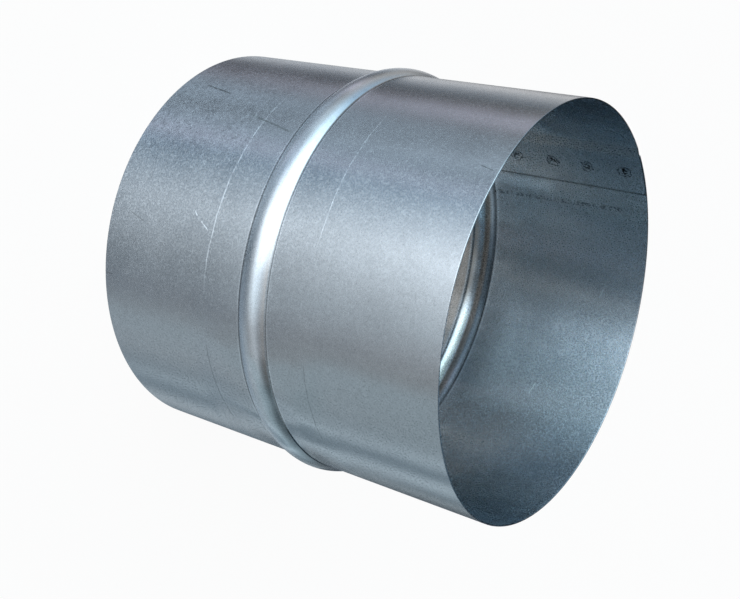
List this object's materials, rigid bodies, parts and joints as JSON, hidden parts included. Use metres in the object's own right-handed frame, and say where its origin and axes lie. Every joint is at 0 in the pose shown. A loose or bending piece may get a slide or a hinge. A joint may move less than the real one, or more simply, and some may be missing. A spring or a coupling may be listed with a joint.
{
  "type": "duct connector",
  "caption": "Straight male connector for round ventilation duct: a short galvanised sheet tube with a rolled stop bead round its middle and a spot-welded lap seam.",
  "frame": {"origin": "centre of the lower rim, on the duct's axis, in the plane that the part stands on", "axes": "+Z along the duct's axis from the lower spigot to the upper one; the pictured side faces -Y and the lap seam is at the back, 145 degrees round from +X"},
  "size_m": [0.128, 0.128, 0.12],
  "materials": {
    "galvanised_sheet": "hot-dip galvanised sheet with a fine spangle, cool grey and softly glossy, with light handling scratches"
  },
  "bodies": {
    "root": {"connector_shell": "galvanised_sheet"}
  },
  "joints": []
}
